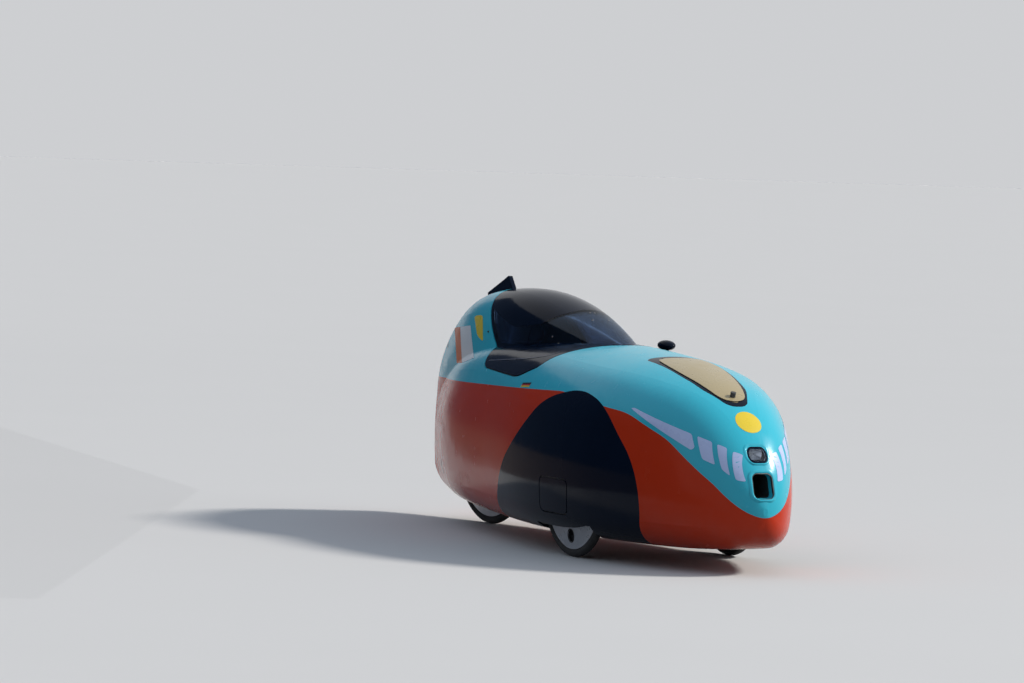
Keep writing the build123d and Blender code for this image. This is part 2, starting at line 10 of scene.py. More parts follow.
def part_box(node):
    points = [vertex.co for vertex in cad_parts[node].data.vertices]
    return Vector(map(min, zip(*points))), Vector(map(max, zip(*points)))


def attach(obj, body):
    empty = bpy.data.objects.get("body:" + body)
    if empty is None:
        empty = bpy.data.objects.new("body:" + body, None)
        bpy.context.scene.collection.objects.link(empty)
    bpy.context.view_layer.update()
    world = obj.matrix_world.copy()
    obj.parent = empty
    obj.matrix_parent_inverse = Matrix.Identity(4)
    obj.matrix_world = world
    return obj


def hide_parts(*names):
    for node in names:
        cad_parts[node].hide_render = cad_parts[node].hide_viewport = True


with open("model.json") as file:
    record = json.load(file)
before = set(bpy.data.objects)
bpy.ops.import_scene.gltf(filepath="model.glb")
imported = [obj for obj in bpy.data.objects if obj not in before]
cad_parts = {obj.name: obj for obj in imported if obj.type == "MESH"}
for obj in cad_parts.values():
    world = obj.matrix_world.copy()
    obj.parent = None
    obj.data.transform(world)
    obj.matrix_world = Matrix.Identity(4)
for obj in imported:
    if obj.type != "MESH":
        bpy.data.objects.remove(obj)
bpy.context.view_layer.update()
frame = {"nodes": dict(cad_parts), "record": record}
NODES = frame["nodes"]


# Camera: the photograph's viewing angle, found from the wheels and the outline
FRAME_WIDTH_PX = 1024
FRAME_HEIGHT_PX = 683
FOCAL_PX = 5399.04
SENSOR_MM = 36
AZIMUTH = radians(64.4764)
ELEVATION = radians(2.6756)
ROLL = radians(1.8072)
DISTANCE = 19.0405
TARGET = Vector((-0.6656, 0, 0.6543))
FAR_CLIP = 100
UP = Vector((0, 0, 1))
view_back = Vector((sin(AZIMUTH) * cos(ELEVATION), -cos(AZIMUTH) * cos(ELEVATION),
                    sin(ELEVATION)))
unrolled_right = UP.cross(view_back).normalized()
unrolled_up = view_back.cross(unrolled_right)
view_right = unrolled_right * cos(ROLL) + unrolled_up * sin(ROLL)
view_up = unrolled_up * cos(ROLL) - unrolled_right * sin(ROLL)
camera_data = bpy.data.cameras.new("camera")
camera_data.sensor_width = SENSOR_MM
camera_data.lens = FOCAL_PX / FRAME_WIDTH_PX * SENSOR_MM
camera_data.clip_end = FAR_CLIP
camera = bpy.data.objects.new("camera", camera_data)
camera.matrix_world = (Matrix.Translation(TARGET + view_back * DISTANCE)
                       @ Matrix((view_right, view_up, view_back)).transposed().to_4x4())
bpy.context.scene.collection.objects.link(camera)
bpy.context.scene.camera = camera
bpy.context.scene.view_settings.view_transform = "Standard"


# Materials
MIX_FACTOR, MIX_FIRST, MIX_SECOND, MIX_RESULT = 0, 6, 7, 2  # sockets of a Mix node for colours
NOISE_LOW, NOISE_HIGH = 0.3, 0.7  # most of a noise lies between these
TONE_DETAIL = 5
WEAVE_SHADE = 0.55
WORN_FROM, WORN_TO, WORN_MOST = 0.53, 0.60, 0.8
DUST_HEIGHT, DUST_MOST, DUST_SCALE, DUST_DETAIL = 0.20, 0.30, 18, 6
ROUGH_LEAST, ROUGH_SCALE, ROUGH_DETAIL = 0.02, 22, 5
BUMP_DEPTH, BUMP_DETAIL = 0.002, 3
PANE_GLOSS = (0.9, 0.95, 1, 1)
PANE_ROUGH = (0.03, 0.07)
PANE_SCALE, PANE_DETAIL = 9, 5
PANE_BLEND, PANE_MOST = 0.12, 0.85


def empty_material(name):
    """New material and its node tree, without nodes."""
    material = bpy.data.materials.new(name)
    material.use_nodes = True
    tree = material.node_tree
    tree.nodes.clear()
    return material, tree


def add(tree, kind, **values):
    """New node. A value goes to the socket of its name, or else to the node's own setting."""
    node = tree.nodes.new(kind)
    for key, value in values.items():
        if key in node.inputs:
            node.inputs[key].default_value = value
        else:
            setattr(node, key, value)
    return node


def noise(tree, scale, detail):
    """Noise in the object's own coordinates."""
    place = add(tree, "ShaderNodeTexCoord")
    node = add(tree, "ShaderNodeTexNoise", Scale=scale, Detail=detail)
    tree.links.new(place.outputs["Object"], node.inputs["Vector"])
    return node.outputs["Fac"]


def remap(tree, value, low, high, to_low, to_high):
    """Value moved from one range into another and held inside it."""
    node = add(tree, "ShaderNodeMapRange", **{"From Min": low, "From Max": high,
                                              "To Min": to_low, "To Max": to_high})
    tree.links.new(value, node.inputs["Value"])
    return node.outputs["Result"]


def mixed(tree, factor, first, second):
    """Mix of two colours, each a tuple or another node's output."""
    node = add(tree, "ShaderNodeMix", data_type="RGBA")
    tree.links.new(factor, node.inputs[MIX_FACTOR])
    for index, value in ((MIX_FIRST, first), (MIX_SECOND, second)):
        if isinstance(value, tuple):
            node.inputs[index].default_value = (*value, 1)
        else:
            tree.links.new(value, node.inputs[index])
    return node.outputs[MIX_RESULT]


def finish_surface(name, colour, rough, spread=0.06, tone=0.06, tone_scale=6.0, bump=None,
                   edge=None, dust=None, weave=None, **shader_values):
    """Surface with a varied tone and roughness.

    Where asked it has bump (strength, scale), a colour on worn edges, a colour of dust low down
    or a weave (scale). The other values go to the shader's own sockets.
    """
    material, tree = empty_material(name)
    shader = add(tree, "ShaderNodeBsdfPrincipled", **shader_values)
    out = add(tree, "ShaderNodeOutputMaterial")
    tree.links.new(shader.outputs[0], out.inputs["Surface"])
    darker = tuple(c * (1 - tone) for c in colour)
    lighter = tuple(min(1, c * (1 + tone)) for c in colour)
    base = mixed(tree, noise(tree, tone_scale, TONE_DETAIL), darker, lighter)
    if weave:
        place = add(tree, "ShaderNodeTexCoord")
        cells = add(tree, "ShaderNodeTexChecker", Scale=weave)
        tree.links.new(place.outputs["Object"], cells.inputs["Vector"])
        shaded = tuple(c * WEAVE_SHADE for c in colour)
        base = mixed(tree, cells.outputs["Fac"], base, shaded)
    if edge:
        shape = add(tree, "ShaderNodeNewGeometry")
        worn = remap(tree, shape.outputs["Pointiness"], WORN_FROM, WORN_TO, 0, WORN_MOST)
        base = mixed(tree, worn, base, edge)
    if dust:
        shape = add(tree, "ShaderNodeNewGeometry")
        split = add(tree, "ShaderNodeSeparateXYZ")
        tree.links.new(shape.outputs["Position"], split.inputs[0])
        low_down = remap(tree, split.outputs["Z"], 0, DUST_HEIGHT, DUST_MOST, 0)
        patchy = add(tree, "ShaderNodeMath", operation="MULTIPLY")
        tree.links.new(low_down, patchy.inputs[0])
        tree.links.new(noise(tree, DUST_SCALE, DUST_DETAIL), patchy.inputs[1])
        base = mixed(tree, patchy.outputs[0], base, dust)
    tree.links.new(base, shader.inputs["Base Color"])
    varied = remap(tree, noise(tree, ROUGH_SCALE, ROUGH_DETAIL), NOISE_LOW, NOISE_HIGH,
                   max(rough - spread, ROUGH_LEAST), rough + spread)
    tree.links.new(varied, shader.inputs["Roughness"])
    if bump:
        strength, scale = bump
        bumps = add(tree, "ShaderNodeBump", Strength=strength, Distance=BUMP_DEPTH)
        tree.links.new(noise(tree, scale, BUMP_DETAIL), bumps.inputs["Height"])
        tree.links.new(bumps.outputs[0], shader.inputs["Normal"])
    return material


def pane_surface(name, tint, gloss_floor):
    """Clear plastic pane: see-through with a tint, and a gloss that grows at flat angles."""
    material, tree = empty_material(name)
    gloss = add(tree, "ShaderNodeBsdfGlossy", Color=PANE_GLOSS)
    varied = remap(tree, noise(tree, PANE_SCALE, PANE_DETAIL), NOISE_LOW, NOISE_HIGH, *PANE_ROUGH)
    tree.links.new(varied, gloss.inputs["Roughness"])
    see = add(tree, "ShaderNodeBsdfTransparent", Color=(*tint, 1))
    angle = add(tree, "ShaderNodeLayerWeight", Blend=PANE_BLEND)
    share = remap(tree, angle.outputs["Fresnel"], 0, 1, gloss_floor, PANE_MOST)
    mix = add(tree, "ShaderNodeMixShader")
    out = add(tree, "ShaderNodeOutputMaterial")
    tree.links.new(share, mix.inputs[0])
    tree.links.new(see.outputs[0], mix.inputs[1])
    tree.links.new(gloss.outputs[0], mix.inputs[2])
    tree.links.new(mix.outputs[0], out.inputs["Surface"])
    return material


DUST = (0.35, 0.31, 0.26)
METAL_DUST = (0.2, 0.18, 0.16)
FINISHES = {
    # The record's material slots
    "turquoise_paint": {"colour": (0.035, 0.510, 0.650), "rough": 0.22, "tone": 0.03,
                        "dust": DUST, "IOR": 1.32, "Coat Weight": 0.12, "Coat Roughness": 0.05},
    "orange_paint": {"colour": (0.620, 0.038, 0.007), "rough": 0.22, "tone": 0.04,
                     "dust": DUST, "IOR": 1.20, "Coat Weight": 0.08, "Coat Roughness": 0.05},
    "black_gloss": {"colour": (0.003, 0.008, 0.021), "rough": 0.10, "spread": 0.03, "tone": 0.2,
                    "dust": (0.09, 0.085, 0.08), "IOR": 1.20},
    "black_matte": {"colour": (0.012, 0.012, 0.014), "rough": 0.45, "tone": 0.3,
                    "bump": (0.25, 900), "edge": (0.05, 0.05, 0.05)},
    "tan_panel": {"colour": (0.430, 0.340, 0.180), "rough": 0.30, "tone": 0.05,
                  "bump": (0.06, 300), "Coat Weight": 0.3, "Coat Roughness": 0.2},
    "laminate": {"colour": (0.018, 0.018, 0.020), "rough": 0.35, "tone": 0.15,
                 "bump": (0.1, 200), "weave": 500, "dust": (0.12, 0.11, 0.10),
                 "Coat Weight": 0.4},
    "tyre_rubber": {"colour": (0.016, 0.016, 0.017), "rough": 0.75, "tone": 0.25,
                    "bump": (0.5, 700), "dust": (0.10, 0.09, 0.08)},
    "disc_silver": {"colour": (0.42, 0.43, 0.46), "rough": 0.32, "tone": 0.08,
                    "bump": (0.05, 30), "dust": METAL_DUST, "Metallic": 0.35,
                    "Coat Weight": 0.4},
    "alloy": {"colour": (0.62, 0.63, 0.65), "rough": 0.30, "tone": 0.08, "bump": (0.08, 500),
              "dust": METAL_DUST, "Metallic": 1.0},
    "steel": {"colour": (0.30, 0.30, 0.31), "rough": 0.38, "tone": 0.12, "bump": (0.1, 400),
              "dust": (0.15, 0.13, 0.12), "Metallic": 1.0},
    "red_lamp": {"colour": (0.55, 0.020, 0.012), "rough": 0.15, "tone": 0.1,
                 "bump": (0.3, 400), "IOR": 1.28, "Coat Weight": 0.12, "Coat Roughness": 0.05},
    "foam": {"colour": (0.03, 0.03, 0.033), "rough": 0.9, "tone": 0.3, "bump": (0.6, 900),
             "Sheen Weight": 0.4},
    "grip_rubber": {"colour": (0.02, 0.02, 0.02), "rough": 0.7, "tone": 0.2,
                    "bump": (0.6, 500)},
    "mirror_glass": {"colour": (0.80, 0.82, 0.85), "rough": 0.04, "spread": 0.02, "tone": 0.02,
                     "Metallic": 1.0},
    # Films, stickers and small parts that only this script makes
    "stripe_film": {"colour": (0.54, 0.64, 0.95), "rough": 0.28, "tone": 0.03,
                    "Coat Weight": 0.4},
    "white_film": {"colour": (0.80, 0.81, 0.82), "rough": 0.35, "tone": 0.02, "tone_scale": 20},
    "orange_film": {"colour": (0.75, 0.14, 0.02), "rough": 0.35, "tone": 0.03},
    "yellow_film": {"colour": (0.85, 0.62, 0.03), "rough": 0.3, "tone": 0.03},
    "grey_film": {"colour": (0.30, 0.31, 0.33), "rough": 0.25, "tone": 0.1,
                  "bump": (0.4, 600)},
    "black_film": {"colour": (0.010, 0.010, 0.012), "rough": 0.35, "tone": 0.1},
    "red_film": {"colour": (0.55, 0.02, 0.02), "rough": 0.35, "tone": 0.05},
    "reflector_chrome": {"colour": (0.86, 0.88, 0.93), "rough": 0.16, "tone": 0.05,
                         "bump": (0.3, 160), "Metallic": 0.6},
    "screw_steel": {"colour": (0.22, 0.23, 0.25), "rough": 0.35, "tone": 0.1,
                    "bump": (0.1, 900), "Metallic": 1.0},
    # lighter than the black gloss: a painted highlight along the hood's flange line
    "navy_edge_highlight": {"colour": (0.030, 0.042, 0.085), "rough": 0.3, "tone": 0.1},
}
SURFACES = {name: finish_surface(name, **values) for name, values in FINISHES.items()}
SURFACES["clear_pane"] = pane_surface("clear_pane", tint=(0.42, 0.52, 0.66), gloss_floor=0.02)
SURFACES["lamp_glass"] = pane_surface("lamp_glass", tint=(0.93, 0.95, 0.97), gloss_floor=0.03)
for part in frame["record"]["subparts"]:
    shown = NODES[part["node"]]
    shown.data.materials.clear()
    shown.data.materials.append(SURFACES[part["material_slot"]])
    shown.data.shade_smooth()


# Studio: floor, world, lights and boards
def eye_rays(tree):
    """1 for the rays that show the background: from the camera, off gloss and through glass."""
    paths = add(tree, "ShaderNodeLightPath")
    value = paths.outputs["Is Camera Ray"]
    for kind in ("Is Glossy Ray", "Is Transmission Ray"):
        either = add(tree, "ShaderNodeMath", operation="MAXIMUM")
        tree.links.new(value, either.inputs[0])
        tree.links.new(paths.outputs[kind], either.inputs[1])
        value = either.outputs[0]
    return value


def stage_sheet(name, corners, material):
    """Four-cornered sheet that isn't part of the object."""
    mesh = bpy.data.meshes.new(name)
    mesh.from_pydata(corners, [], [(0, 1, 2, 3)])
    mesh.materials.append(material)
    sheet = bpy.data.objects.new(name, mesh)
    bpy.context.scene.collection.objects.link(sheet)
    return sheet


FLOOR_REACH = 400
FLOOR_TONES = ((0.634, 0.614, 0.594), (0.646, 0.626, 0.606))
FLOOR_FOR_LIGHT = (0.20, 0.20, 0.20)  # what the floor gives back to the object
FLOOR_ROUGH = 0.9
FLOOR_SCALE = 1.0
floor_paint, floor_tree = empty_material("floor_paint")
floor_shader = add(floor_tree, "ShaderNodeBsdfPrincipled", Roughness=FLOOR_ROUGH)
floor_out = add(floor_tree, "ShaderNodeOutputMaterial")
floor_tone = mixed(floor_tree, noise(floor_tree, FLOOR_SCALE, TONE_DETAIL), *FLOOR_TONES)
floor_base = mixed(floor_tree, eye_rays(floor_tree), FLOOR_FOR_LIGHT, floor_tone)
floor_tree.links.new(floor_base, floor_shader.inputs["Base Color"])
floor_tree.links.new(floor_shader.outputs[0], floor_out.inputs["Surface"])
stage_sheet("floor", [(-FLOOR_REACH, -FLOOR_REACH, 0), (FLOOR_REACH, -FLOOR_REACH, 0),
                      (FLOOR_REACH, FLOOR_REACH, 0), (-FLOOR_REACH, FLOOR_REACH, 0)], floor_paint)

# World: the floor's tone where the background shows, and a pale blue sky for the light
HORIZON = (0.613, 0.622, 0.640, 1)
SKY_LOW, SKY_HIGH = (0.30, 0.34, 0.40), (0.66, 0.80, 1.0)
SKY_FROM, SKY_TO = 0.05, 0.75
SKY_STRENGTH = 0.55
world = bpy.data.worlds.new("studio")
world.use_nodes = True
bpy.context.scene.world = world
sky = world.node_tree
sky.nodes.clear()
sky_place = add(sky, "ShaderNodeTexCoord")
sky_split = add(sky, "ShaderNodeSeparateXYZ")
sky.links.new(sky_place.outputs["Generated"], sky_split.inputs[0])
sky_height = remap(sky, sky_split.outputs["Z"], SKY_FROM, SKY_TO, 0, 1)
seen = add(sky, "ShaderNodeBackground", Color=HORIZON, Strength=1.0)
fill = add(sky, "ShaderNodeBackground", Strength=SKY_STRENGTH)
sky.links.new(mixed(sky, sky_height, SKY_LOW, SKY_HIGH), fill.inputs["Color"])
pick = add(sky, "ShaderNodeMixShader")
sky_out = add(sky, "ShaderNodeOutputWorld")
sky.links.new(eye_rays(sky), pick.inputs[0])
sky.links.new(fill.outputs[0], pick.inputs[1])
sky.links.new(seen.outputs[0], pick.inputs[2])
sky.links.new(pick.outputs[0], sky_out.inputs["Surface"])


def light(name, kind, place, aim, power, colour, **settings):
    """Lamp at a place, turned towards a point."""
    data = bpy.data.lights.new(name, kind)
    data.energy = power
    data.color = colour
    for key, value in settings.items():
        setattr(data, key, value)
    lamp = bpy.data.objects.new(name, data)
    lamp.location = place
    lamp.rotation_euler = (Vector(aim) - Vector(place)).to_track_quat("-Z", "Y").to_euler()
    bpy.context.scene.collection.objects.link(lamp)


light("key", "SUN", place=(2.6, 8.0, 6.4), aim=(0, 0, 0), power=3.1, colour=(1, 0.97, 0.92),
      angle=radians(9))
light("front_soft", "AREA", place=(6.5, 5.0, 4.5), aim=(0.8, 0, 0.4), power=60,
      colour=(0.95, 0.98, 1), size=5.0)

# Dark board and mat beside the object, seen only in its gloss
BOARDS = {
    "board": ([(-14, 1.0, 0), (-1.0, -14, 0), (-1.0, -14, 7), (-14, 1.0, 7)],
              (0.030, 0.050, 0.090)),
    "mat": ([(-14, 1.0, 0.003), (-1.0, -14, 0.003), (1.6, -2.6, 0.003), (-2.3, -0.5, 0.003)],
            (0.20, 0.15, 0.13)),
}
for board_name, (board_corners, board_colour) in BOARDS.items():
    cloth = finish_surface(f"{board_name}_cloth", board_colour, 0.9, tone=0.05)
    board = stage_sheet(board_name, board_corners, cloth)
    board.visible_camera = False
    board.visible_diffuse = False
    board.visible_transmission = False
    board.visible_shadow = False


# Helpers for pieces that follow the surface of the CAD nodes
OUTSIDE = 1.5       # ahead of the part and above it, where a ray starts
BESIDE = 0.6        # beside the part
STAND_OFF = 0.1     # from the surface to the start of a ray that faces it
FILM_LIFT = 0.0006
FILM_STEP = 0.008
MERGE = 1e-6
INSIDE_ONLY = 1     # the triangulation gives back what lies inside the outline
CORNER_CUT = 0.45   # the most of a side that a rounded corner takes


def surface_tree(*names):
    """Search tree of the faces of some CAD nodes."""
    points, faces = [], []
    for name in names:
        mesh = NODES[name].data
        start = len(points)
        points += [vertex.co.copy() for vertex in mesh.vertices]
        faces += [tuple(start + i for i in polygon.vertices) for polygon in mesh.polygons]
    return BVHTree.FromPolygons(points, faces)


def cast(tree, start, direction):
    """Where a ray meets the surface, and the normal there on the ray's side."""
    hit, normal, _, _ = tree.ray_cast(start, direction)
    if hit is not None and normal.dot(direction) > 0:
        normal = -normal
    return hit, normal


def make_piece(name, form, body, finish, smooth=True):
    """Piece from a bmesh, with its finish, that rides on a body."""
    if smooth:
        for face in form.faces:
            face.smooth = True
    mesh = bpy.data.meshes.new(name)
    form.to_mesh(mesh)
    form.free()
    mesh.materials.append(SURFACES[finish])
    piece = bpy.data.objects.new(name, mesh)
    bpy.context.scene.collection.objects.link(piece)
    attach(piece, body)
    return piece


def strip_mesh(name, rows, body, finish):
    """Smooth surface through equal rows of points, each row closed to a ring."""
    form = bmesh.new()
    grid = [[form.verts.new(Vector(point)) for point in row] for row in rows]
    count = len(rows[0])
    for first, second in zip(grid, grid[1:]):
        for i in range(count):
            j = (i + 1) % count
            form.faces.new((first[i], first[j], second[j], second[i]))
    bmesh.ops.remove_doubles(form, verts=form.verts, dist=MERGE)
    bmesh.ops.recalc_face_normals(form, faces=form.faces)
    return make_piece(name, form, body, finish)


def filled(outline, step):
    """Points and faces that fill a flat outline, with inner points a step apart."""
    edge = []
    for i, (u, v) in enumerate(outline):
        u2, v2 = outline[(i + 1) % len(outline)]
        parts = max(1, int(((u2 - u) ** 2 + (v2 - v) ** 2) ** 0.5 / step))
        edge += [Vector((u + (u2 - u) * k / parts, v + (v2 - v) * k / parts))
                 for k in range(parts)]
    count = len(edge)
    loop = [(i, (i + 1) % count) for i in range(count)]
    us, vs = [p.x for p in edge], [p.y for p in edge]
    inner = [Vector((min(us) + i * step, min(vs) + j * step))
             for i in range(1, int((max(us) - min(us)) / step) + 1)
             for j in range(1, int((max(vs) - min(vs)) / step) + 1)]
    points, _, faces, *_ = delaunay_2d_cdt(edge + inner, loop, [], INSIDE_ONLY, MERGE)
    return points, [face for face in faces if len(face) == 3]


def laid_on(name, outline, ray, finish, lift=FILM_LIFT, step=FILM_STEP):
    """Thin piece that lies on the body. Its outline is flat; ray(u, v) starts and aims a ray."""
    points, faces = filled(outline, step)
    form = bmesh.new()
    found = []
    for point in points:
        hit, normal = cast(BODY_TREE, *ray(point.x, point.y))
        found.append(None if hit is None else form.verts.new(hit + normal * lift))
    for face in faces:
        corners = [found[i] for i in face]
        if None not in corners:
            form.faces.new(corners)
    bmesh.ops.recalc_face_normals(form, faces=form.faces)
    make_piece(name, form, "frame", finish)


def side_ray(side):
    """Rays from the left (1) or right (-1) towards the middle; u runs forwards, v up."""
    return lambda u, v: (Vector((u, side * BESIDE, v)), Vector((0, -side, 0)))


def photo_ray(px, py):
    """Ray from the camera through a point of the photograph's frame."""
    direction = (-view_back * FOCAL_PX + view_right * (px - FRAME_WIDTH_PX / 2)
                 - view_up * (py - FRAME_HEIGHT_PX / 2))
    return camera.matrix_world.translation, direction.normalized()


def facing(px, py):
    """Rays at the body around a point of the photograph's frame; u runs level, v up the body."""
    hit, normal = cast(BODY_TREE, *photo_ray(px, py))
    across = UP.cross(normal).normalized()
    upward = normal.cross(across)
    return lambda u, v: (hit + normal * STAND_OFF + across * u + upward * v, -normal)


def oval(half_width, half_height, count):
    """Flat outline of an ellipse."""
    return [(half_width * cos(tau * i / count), half_height * sin(tau * i / count))
            for i in range(count)]


def rounded(corners, radius, steps=5):
    """Flat outline with its corners rounded by short curves."""
    result = []
    count = len(corners)
    for i in range(count):
        a, b, c = (Vector(corners[(i + k) % count]) for k in (-1, 0, 1))
        cut = min(radius, (a - b).length * CORNER_CUT, (c - b).length * CORNER_CUT)
        first, last = b + (a - b).normalized() * cut, b + (c - b).normalized() * cut
        for k in range(steps + 1):
            t = k / steps
            result.append(tuple(first * (1 - t) ** 2 + b * 2 * t * (1 - t) + last * t ** 2))
    return result


def smooth_line(points, count):
    """Points of a smooth line through some points, as tuples."""
    vectors = [Vector(p) for p in points]
    vectors = [vectors[0] * 2 - vectors[1]] + vectors + [vectors[-1] * 2 - vectors[-2]]
    result = []
    for i in range(1, len(vectors) - 2):
        a, b, c, d = vectors[i - 1:i + 3]
        for k in range(count):
            t = k / count
            result.append(tuple(0.5 * (2 * b + (c - a) * t
                                       + (2 * a - 5 * b + 4 * c - d) * t * t
                                       + (3 * b - a - 3 * c + d) * t ** 3)))
    return result + [tuple(vectors[-2])]


def ring_rows(centre, normal, profile, count=20):
    """Rings about a normal; the profile runs (radius, height)."""
    side = normal.orthogonal().normalized()
    other = normal.cross(side)
    return [[centre + normal * tall
             + (side * cos(tau * i / count) + other * sin(tau * i / count)) * radius
             for i in range(count)] for radius, tall in profile]


def blunt(turn, power):
    """Point of a blunt ellipse of size one; a power of 2 gives a circle."""
    c, n = cos(turn), sin(turn)
    size = (abs(c) ** power + abs(n) ** power) ** (-1 / power)
    return c * size, n * size


BODY_TREE = surface_tree("upper_shell", "lower_shell", "wheel_cover_left", "wheel_cover_right",
                         "hatch_frame", "tail_lamp")
HOOD_TREE = surface_tree("hood_shell", "visor", "side_windows")
HATCH_TREE = surface_tree("hatch_frame", "hatch_lid")

# Light stripes on both sides of the nose: corners in mm as seen from the side, corner radius
STRIPE_SHIFT = 0.0205
STRIPES = {
    "wedge": ([(794, 517), (806, 519), (1037, 450), (1061, 408), (1052, 399)], 10),
    "bar_1": ([(1055, 445), (1100, 429), (1134, 357), (1093, 373)], 8),
    "bar_2": ([(1114, 423), (1138, 412), (1178, 325), (1155, 343)], 7),
    "bar_3": ([(1152, 402), (1168, 393), (1209, 308), (1192, 313)], 6),
}
for stripe, (stripe_corners, corner_radius) in STRIPES.items():
    stripe_outline = [(x / 1000 + STRIPE_SHIFT, z / 1000)
                      for x, z in rounded(stripe_corners, corner_radius)]
    for side, label in ((-1, "right"), (1, "left")):
        laid_on(f"stripe_{stripe}_{label}", stripe_outline, side_ray(side), "stripe_film")

# Plain stickers and small marks: the start plate with its strip, two yellow shapes, a small
# tricolour, and a cap, a slot, a plug and a reflector behind. The outlines with photo_ray are in
# the photograph's pixels, and those with facing in metres around such a point.
PHOTO_STEP = 1.0
CAP_LIFT, CAP_STEP = 0.0015, 0.004
MARK_LIFT, MARK_STEP = 0.001, 0.003
FLAG_TOP = ((523.1, 382.7), (531.8, 382.5))
FLAG_LOW = ((520.7, 387.0), (528.8, 387.0))


def flag_line(share):
    """Both ends of a line across the flag, at a share of its height from the top."""
    return [tuple(Vector(top).lerp(Vector(low), share)) for top, low in zip(FLAG_TOP, FLAG_LOW)]


def flag_band(number):
    """Outline of one of the flag's three bands, counted from the top."""
    return flag_line(number / 3) + flag_line((number + 1) / 3)[::-1]


STICKERS = {
    "plate_white": ("white_film", photo_ray,
                    [(460.3, 327), (470.6, 325.5), (473.9, 357.9), (462.1, 362.7)],
                    FILM_LIFT, PHOTO_STEP),
    "plate_strip": ("orange_film", photo_ray,
                    [(454.8, 327.6), (460.2, 327.0), (462.0, 362.7), (456.9, 363.1)],
                    FILM_LIFT, PHOTO_STEP),
    "sticker_nose": ("yellow_film", facing(748.5, 422), oval(0.045, 0.047, 40),
                     FILM_LIFT, FILM_STEP),
    "sticker_fairing": ("yellow_film", photo_ray,
                        rounded([(474.4, 315.9), (482.9, 314.8), (483.1, 341.8),
                                 (477.2, 335.5)], 3), FILM_LIFT, PHOTO_STEP),
    "flag_black": ("black_film", photo_ray, flag_band(0), FILM_LIFT, PHOTO_STEP),
    "flag_red": ("red_film", photo_ray, flag_band(1), FILM_LIFT, PHOTO_STEP),
    "flag_gold": ("yellow_film", photo_ray, flag_band(2), FILM_LIFT, PHOTO_STEP),
    "tail_cap": ("black_film", facing(448.2, 345.2), oval(0.006, 0.010, 20),
                 CAP_LIFT, CAP_STEP),
    # black film where the fairing's slot is: painted shade for the dark inside of the slot
    "fairing_slot_painted_shade": ("black_film", facing(488.4, 331.6), oval(0.009, 0.003, 16),
                     MARK_LIFT, MARK_STEP),
    "tail_plug": ("black_film", facing(451.8, 382.1), oval(0.004, 0.004, 16),
                  MARK_LIFT, MARK_STEP),
    "tail_reflector": ("grey_film", facing(442.0, 466.5),
                       rounded([(-0.018, -0.026), (0.018, -0.026), (0.018, 0.026),
                                (-0.018, 0.026)], 0.005), FILM_LIFT, FILM_STEP),
}
for sticker, (film, sticker_ray, sticker_outline, film_lift, film_step) in STICKERS.items():
    laid_on(sticker, sticker_outline, sticker_ray, film, lift=film_lift, step=film_step)

# Rolled lips round the intake and the lamp: (outwards, forwards) from the skin to the inside
LIP_PROFILES = {
    "intake_lip": ("intake_duct", [
        (0.0120, -0.0012), (0.0095, 0.0004), (0.0065, 0.0016), (0.0035, 0.0030),
        (0.0008, 0.0030), (-0.0012, 0.0012), (-0.0022, -0.0040), (-0.0028, -0.0100),
        (-0.0040, -0.0280)]),
    "lamp_lip": ("lamp_housing", [
        (0.0105, -0.0012), (0.0080, 0.0003), (0.0055, 0.0012), (0.0030, 0.0020),
        (0.0008, 0.0018), (-0.0004, 0.0004), (-0.0008, -0.0020)]),
}
LIP_GAP = 0.0003     # from the node's box to the lip's own outline
LIP_RADIUS = 0.021
LIP_READ = 0.005     # the skin is read this far outside the outline


def rounded_loop(half, bottom, top, radius, steps=10):
    """Closed rounded rectangle as (across, height) points with their outward directions."""
    tall, middle = (top - bottom) / 2, (top + bottom) / 2
    points = []
    for quarter, (sy, sz) in enumerate(((1, 1), (-1, 1), (-1, -1), (1, -1))):
        for k in range(steps + 1):
            turn = radians(90) * (quarter + k / steps)
            c, n = cos(turn), sin(turn)
            points.append((sy * (half - radius) + radius * c,
                           middle + sz * (tall - radius) + radius * n, c, n))
    return points


def lip(name, node, profile):
    """Lip round an opening in the nose."""
    low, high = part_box(node)
    loop = rounded_loop(high[1] + LIP_GAP, low[2] - LIP_GAP, high[2] + LIP_GAP, LIP_RADIUS)
    skin = []
    for y, z, out_y, out_z in loop:
        start = Vector((OUTSIDE, y + out_y * LIP_READ, z + out_z * LIP_READ))
        skin.append(cast(BODY_TREE, start, Vector((-1, 0, 0)))[0].x)
    rows = [[(x + ahead, y + out_y * outwards, z + out_z * outwards)
             for x, (y, z, out_y, out_z) in zip(skin, loop)] for outwards, ahead in profile]
    strip_mesh(name, rows, "frame", "turquoise_paint")


for lip_name, (lip_node, lip_profile) in LIP_PROFILES.items():
    lip(lip_name, lip_node, lip_profile)

# Reflector bowl and bulb of the lamp, measured back from its lens
LENS_INSET = 0.001
BOWL_BACK = 0.004
BOWL_DEPTH = 0.030
BOWL_RINGS = 9
BOWL_COUNT = 48
BOWL_BLUNT = 2.5     # from a circle at the back to a blunt outline at the lens
BULB_BACK = 0.034
BULB_LENGTH = 0.016
BULB_RADIUS = 0.007
BULB_RINGS = 7
BULB_COUNT = 20
BULB_TIP = 0.0004


